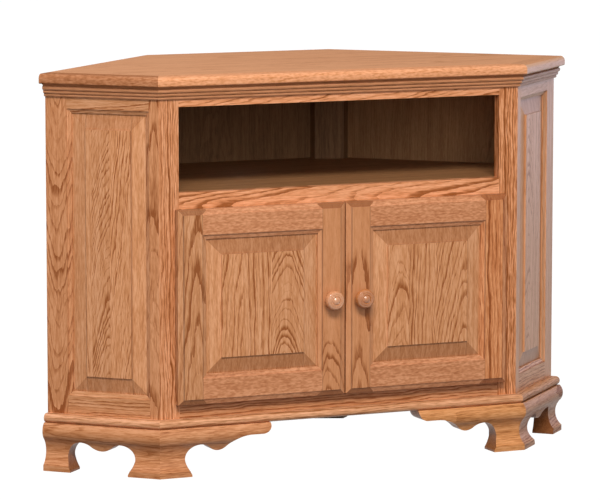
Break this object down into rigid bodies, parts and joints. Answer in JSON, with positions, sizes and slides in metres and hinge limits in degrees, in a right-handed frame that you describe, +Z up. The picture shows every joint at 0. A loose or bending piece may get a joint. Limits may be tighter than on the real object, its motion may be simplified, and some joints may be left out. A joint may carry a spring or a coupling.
{
  "type": "corner tv cabinet",
  "caption": "Low oak corner cabinet with canted framed sides, an open media bay over a pair of raised-panel doors, a reeded crown and ogee bracket feet.",
  "frame": {"origin": "on the floor, under the middle of the bounding box", "axes": "+X to the cabinet's right as its front is looked at, +Y from the front to the rear panel, +Z up"},
  "size_m": [1.122, 0.5624, 0.762],
  "materials": {
    "oak_solid": "satin varnish over medium oak stain",
    "oak_panel": "satin varnish over medium oak stain, upright cathedral grain",
    "oak_veneer": "semi-gloss varnish on a quiet veneer",
    "oak_board": "thin varnish on veneered board",
    "hinge_steel": "nickel plated",
    "peg_steel": "bright zinc",
    "bumper_rubber": "soft translucent"
  },
  "bodies": {
    "cabinet": {"top_panel": "oak_veneer", "top_edge_front": "oak_solid", "top_edge_left": "oak_solid", "top_edge_right": "oak_solid", "crown_front": "oak_solid", "crown_left": "oak_solid", "crown_right": "oak_solid", "left_face_stile": "oak_solid", "right_face_stile": "oak_solid", "top_face_rail": "oak_solid", "middle_face_rail": "oak_solid", "bottom_face_rail": "oak_solid", "left_side_rear_stile": "oak_solid", "left_side_front_stile": "oak_solid", "left_side_top_rail": "oak_solid", "left_side_bottom_rail": "oak_solid", "left_side_panel": "oak_panel", "left_hinge_arms": "hinge_steel", "left_rear_side": "oak_board", "left_rear_post": "oak_solid", "left_side_bracket": "oak_solid", "left_front_bracket": "oak_solid", "right_side_rear_stile": "oak_solid", "right_side_front_stile": "oak_solid", "right_side_top_rail": "oak_solid", "right_side_bottom_rail": "oak_solid", "right_side_panel": "oak_panel", "right_hinge_arms": "hinge_steel", "right_rear_side": "oak_board", "right_rear_post": "oak_solid", "right_side_bracket": "oak_solid", "right_front_bracket": "oak_solid", "door_bumpers": "bumper_rubber", "rear_panel": "oak_board", "bay_deck": "oak_board", "cabinet_floor": "oak_board", "shelf": "oak_board", "shelf_pegs": "peg_steel", "board_cleats": "oak_solid", "base_cap_front": "oak_solid", "base_cap_left": "oak_solid", "base_cap_right": "oak_solid", "foot_blocks": "oak_solid"},
    "left_door": {"left_door_hinge_stile": "oak_solid", "left_door_meeting_stile": "oak_solid", "left_door_bottom_rail": "oak_solid", "left_door_top_rail": "oak_solid", "left_door_panel": "oak_panel", "left_knob": "oak_solid", "left_hinge_cups": "hinge_steel", "left_hinge_pins": "hinge_steel"},
    "right_door": {"right_door_hinge_stile": "oak_solid", "right_door_meeting_stile": "oak_solid", "right_door_bottom_rail": "oak_solid", "right_door_top_rail": "oak_solid", "right_door_panel": "oak_panel", "right_knob": "oak_solid", "right_hinge_cups": "hinge_steel", "right_hinge_pins": "hinge_steel"}
  },
  "joints": [
    {"name": "left_door_hinge", "type": "hinge", "parent": "cabinet", "child": "left_door", "pos_m": [-0.3375, -0.24421, 0.324], "axis": [0, 0, -1], "range_deg": [0, 95]},
    {"name": "right_door_hinge", "type": "hinge", "parent": "cabinet", "child": "right_door", "pos_m": [0.3375, -0.24421, 0.324], "axis": [0, 0, 1], "range_deg": [0, 95]}
  ]
}
